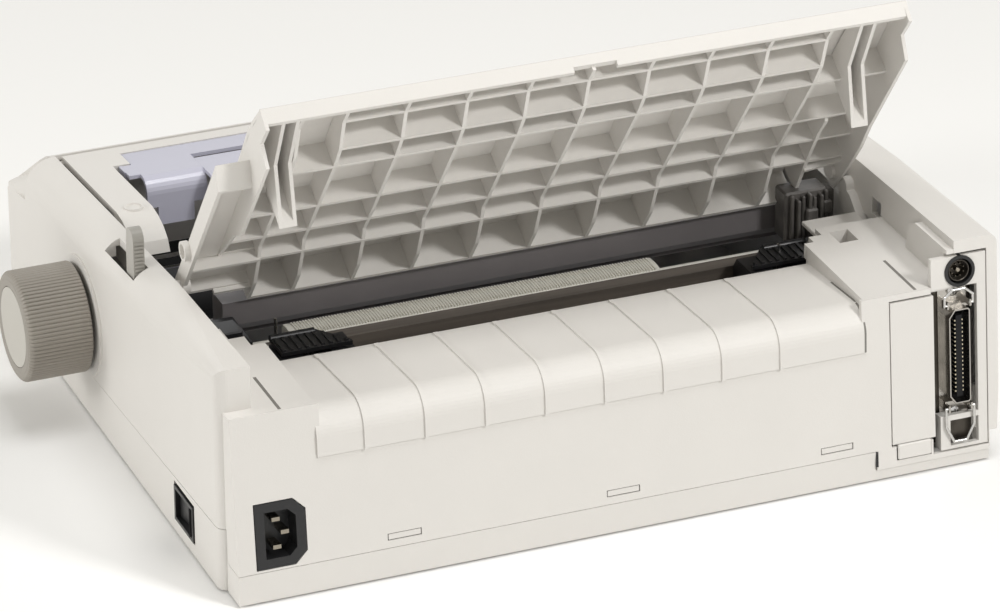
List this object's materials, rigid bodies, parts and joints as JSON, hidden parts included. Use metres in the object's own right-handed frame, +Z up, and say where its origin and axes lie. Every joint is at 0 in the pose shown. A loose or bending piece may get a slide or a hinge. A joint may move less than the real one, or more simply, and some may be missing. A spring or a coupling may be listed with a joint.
{
  "type": "dot matrix printer",
  "caption": "Desktop dot matrix printer seen from behind, its ribbed rear paper separator raised over the paper tractors, with a platen knob, mains inlet and a wide ribbon-cable connector.",
  "frame": {"origin": "middle of the bounding box's footprint, on the ground under the rubber feet", "axes": "+X along the platen towards the knob, +Y towards the back where paper enters, +Z up"},
  "size_m": [0.434, 0.3467, 0.2249],
  "materials": {
    "case_plastic": "fine moulded texture",
    "grey_plastic": "satin",
    "black_plastic": "satin",
    "dark_plastic": "satin",
    "cream_plastic": "satin",
    "smoke_plastic": "clear, tinted",
    "zinc_steel": "zinc plated",
    "dark_steel": "dark plated",
    "bright_steel": "ground",
    "rubber": "matt",
    "brass": "plain",
    "board": "solder mask",
    "core": "varnished"
  },
  "bodies": {
    "chassis": {"base_pan": "case_plastic", "rubber_feet": "rubber", "upper_case": "case_plastic", "base_plate": "zinc_steel", "side_frame_left": "zinc_steel", "side_frame_right": "zinc_steel", "platen_bushings": "brass", "feed_motor": "dark_steel", "tractor_rail": "dark_steel", "ribbed_guide_bar": "cream_plastic", "support_bar": "dark_steel", "paper_guide_strip": "dark_plastic", "carriage_shaft": "bright_steel", "carriage_belt": "rubber", "carriage_motor": "dark_steel", "main_board": "board", "power_transformer": "core", "power_inlet": "black_plastic", "inlet_pins": "brass", "switch_housing": "black_plastic", "option_cover": "case_plastic", "interface_panel": "case_plastic", "connector_bracket": "zinc_steel", "connector_shell": "zinc_steel", "connector_insert": "black_plastic", "round_socket": "black_plastic"},
    "platen": {"platen_shaft": "bright_steel", "platen_roller": "rubber", "platen_gear": "cream_plastic", "platen_knob": "grey_plastic", "knob_cap": "case_plastic"},
    "front_idler": {"idler_gear_front": "cream_plastic"},
    "rear_idler": {"idler_gear_rear": "cream_plastic"},
    "tractor_drive": {"tractor_shaft": "bright_steel", "tractor_gear": "cream_plastic"},
    "motor_pinion": {"feed_pinion": "brass"},
    "left_tractor_unit": {"left_tractor": "black_plastic"},
    "left_tractor_cover": {"left_tractor_lid": "black_plastic"},
    "left_tractor_wheel": {"left_pin_wheel": "dark_plastic"},
    "right_tractor_unit": {"right_tractor": "black_plastic"},
    "right_tractor_cover": {"right_tractor_lid": "black_plastic"},
    "right_tractor_wheel": {"right_pin_wheel": "dark_plastic"},
    "head_carriage": {"carriage": "black_plastic", "print_head": "dark_steel", "ribbon_cartridge": "dark_plastic"},
    "belt_drive_pulley": {"drive_pulley": "brass"},
    "belt_idler_pulley": {"idler_pulley": "brass"},
    "power_switch": {"switch_rocker": "black_plastic"},
    "upper_wire_bail": {"upper_bail": "bright_steel"},
    "lower_wire_bail": {"lower_bail": "bright_steel"},
    "separator_slider": {"separator_pivots": "case_plastic"},
    "paper_separator": {"separator": "case_plastic"},
    "left_edge_guide": {"left_sheet_guide": "case_plastic"},
    "right_edge_guide": {"right_sheet_guide": "case_plastic"},
    "front_cover": {"access_cover": "case_plastic", "access_window": "smoke_plastic"},
    "head_gap_lever": {"gap_lever": "grey_plastic"},
    "select_key": {"select_button": "grey_plastic"},
    "feed_key": {"feed_button": "grey_plastic"},
    "load_key": {"load_button": "grey_plastic"}
  },
  "joints": [
    {"name": "platen_turn", "type": "hinge", "parent": "chassis", "child": "platen", "pos_m": [-0.018, -0.0455, 0.054], "axis": [1, 0, 0], "continuous": true},
    {"name": "front_idler_turn", "type": "hinge", "parent": "chassis", "child": "front_idler", "pos_m": [0.1612, -0.00426, 0.05861], "axis": [1, 0, 0], "continuous": true},
    {"name": "rear_idler_turn", "type": "hinge", "parent": "chassis", "child": "rear_idler", "pos_m": [0.1612, 0.03848, 0.06339], "axis": [1, 0, 0], "continuous": true},
    {"name": "tractor_shaft_turn", "type": "hinge", "parent": "chassis", "child": "tractor_drive", "pos_m": [-0.018, 0.07972, 0.068], "axis": [1, 0, 0], "continuous": true},
    {"name": "motor_pinion_turn", "type": "hinge", "parent": "chassis", "child": "motor_pinion", "pos_m": [0.1612, -0.0455, 0.028], "axis": [1, 0, 0], "continuous": true},
    {"name": "left_tractor_slide", "type": "slide", "parent": "chassis", "child": "left_tractor_unit", "axis": [1, 0, 0], "range_m": [-0.036, 0]},
    {"name": "left_wheel_slide", "type": "slide", "parent": "tractor_drive", "child": "left_tractor_wheel", "axis": [1, 0, 0], "range_m": [-0.036, 0]},
    {"name": "left_tractor_cover_turn", "type": "hinge", "parent": "left_tractor_unit", "child": "left_tractor_cover", "pos_m": [-0.018, 0.068, 0.0822], "axis": [1, 0, 0], "range_deg": [0, 75]},
    {"name": "right_tractor_slide", "type": "slide", "parent": "chassis", "child": "right_tractor_unit", "axis": [1, 0, 0], "range_m": [0, 0.036]},
    {"name": "right_wheel_slide", "type": "slide", "parent": "tractor_drive", "child": "right_tractor_wheel", "axis": [1, 0, 0], "range_m": [0, 0.036]},
    {"name": "right_tractor_cover_turn", "type": "hinge", "parent": "right_tractor_unit", "child": "right_tractor_cover", "pos_m": [-0.018, 0.068, 0.0822], "axis": [1, 0, 0], "range_deg": [0, 75]},
    {"name": "carriage_slide", "type": "slide", "parent": "chassis", "child": "head_carriage", "axis": [1, 0, 0], "range_m": [-0.098, 0.108]},
    {"name": "drive_pulley_turn", "type": "hinge", "parent": "chassis", "child": "belt_drive_pulley", "pos_m": [0.132, -0.1145, 0.04], "axis": [0, 0, 1], "continuous": true},
    {"name": "idler_pulley_turn", "type": "hinge", "parent": "chassis", "child": "belt_idler_pulley", "pos_m": [-0.166, -0.1145, 0.04], "axis": [0, 0, 1], "continuous": true},
    {"name": "power_switch_rock", "type": "hinge", "parent": "chassis", "child": "power_switch", "pos_m": [0.1764, 0.105, 0.0176], "axis": [0, 0, 1], "range_deg": [0, 12]},
    {"name": "upper_bail_swing", "type": "hinge", "parent": "chassis", "child": "upper_wire_bail", "pos_m": [-0.1958, 0.16605, 0.08533], "axis": [-1, 0, 0], "range_deg": [0, 75]},
    {"name": "lower_bail_swing", "type": "hinge", "parent": "chassis", "child": "lower_wire_bail", "pos_m": [-0.1958, 0.17161, 0.03182], "axis": [1, 0, 0], "range_deg": [0, 75]},
    {"name": "separator_pin_slide", "type": "slide", "parent": "chassis", "child": "separator_slider", "axis": [0, -1, 0], "range_m": [0, 0.038]},
    {"name": "separator_swing", "type": "hinge", "parent": "separator_slider", "child": "paper_separator", "pos_m": [-0.018, 0.0381, 0.104], "axis": [-1, 0, 0], "range_deg": [0, 52]},
    {"name": "left_guide_slide", "type": "slide", "parent": "paper_separator", "child": "left_edge_guide", "axis": [1, 0, 0], "range_m": [-0.09, 0]},
    {"name": "right_guide_slide", "type": "slide", "parent": "paper_separator", "child": "right_edge_guide", "axis": [1, 0, 0], "range_m": [0, 0.09]},
    {"name": "front_cover_swing", "type": "hinge", "parent": "chassis", "child": "front_cover", "pos_m": [-0.018, -0.0345, 0.096], "axis": [-1, 0, 0], "range_deg": [0, 70]},
    {"name": "head_gap_lever_swing", "type": "hinge", "parent": "chassis", "child": "head_gap_lever", "pos_m": [0.174, 0.0055, 0.062], "axis": [1, 0, 0], "range_deg": [0, 32]},
    {"name": "select_key_press", "type": "slide", "parent": "chassis", "child": "select_key", "axis": [0, 0.6976, -0.7165], "range_m": [0, 0.0015], "stiffness_N_per_m": 300},
    {"name": "feed_key_press", "type": "slide", "parent": "chassis", "child": "feed_key", "axis": [0, 0.6976, -0.7165], "range_m": [0, 0.0015], "stiffness_N_per_m": 300},
    {"name": "load_key_press", "type": "slide", "parent": "chassis", "child": "load_key", "axis": [0, 0.6976, -0.7165], "range_m": [0, 0.0015], "stiffness_N_per_m": 300}
  ],
  "couplings": [
    {"joint": "front_idler_turn", "follows": "platen_turn", "ratio": -0.93023},
    {"joint": "rear_idler_turn", "follows": "platen_turn", "ratio": 0.93023},
    {"joint": "tractor_shaft_turn", "follows": "platen_turn", "ratio": -1},
    {"joint": "motor_pinion_turn", "follows": "platen_turn", "ratio": -3.3333},
    {"joint": "left_wheel_slide", "follows": "left_tractor_slide", "ratio": 1},
    {"joint": "right_wheel_slide", "follows": "right_tractor_slide", "ratio": 1},
    {"joint": "drive_pulley_turn", "follows": "carriage_slide", "rad_per_m": -120.48},
    {"joint": "idler_pulley_turn", "follows": "carriage_slide", "rad_per_m": -120.48},
    {"joint": "separator_pin_slide", "follows": "separator_swing", "m_per_rad": 0.04165}
  ]
}
